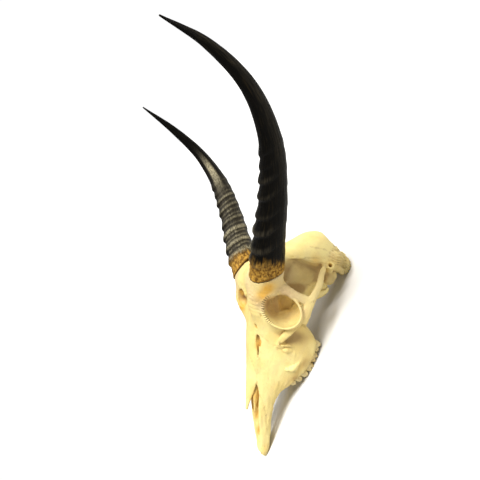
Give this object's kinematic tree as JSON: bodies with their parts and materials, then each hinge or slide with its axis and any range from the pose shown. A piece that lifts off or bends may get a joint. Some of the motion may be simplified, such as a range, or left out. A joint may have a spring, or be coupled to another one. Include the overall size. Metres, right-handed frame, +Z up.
{
  "type": "reedbuck skull with horns",
  "caption": "Cleaned antelope skull without lower jaw, resting on its cheek teeth and condyles, with forward-curving ringed horns.",
  "frame": {"origin": "middle of the bounding box, on the ground under the skull", "axes": "+X to the animal's left, +Y from the snout to the back of the head, +Z up"},
  "size_m": [0.3236, 0.3696, 0.3421],
  "materials": {
    "bone": "dry cream-yellow bone, satin, with amber stains",
    "horn": "near-black keratin, ringed and fibrous, gold-brown at the base",
    "enamel": "cream tooth enamel, slightly glossy"
  },
  "bodies": {
    "root": {"cranium": "bone", "horn_sheath_left": "horn", "horn_sheath_right": "horn", "tooth_left_p2": "enamel", "tooth_left_p3": "enamel", "tooth_left_p4": "enamel", "tooth_left_m1": "enamel", "tooth_left_m2": "enamel", "tooth_left_m3": "enamel", "tooth_right_p2": "enamel", "tooth_right_p3": "enamel", "tooth_right_p4": "enamel", "tooth_right_m1": "enamel", "tooth_right_m2": "enamel", "tooth_right_m3": "enamel"}
  },
  "joints": []
}
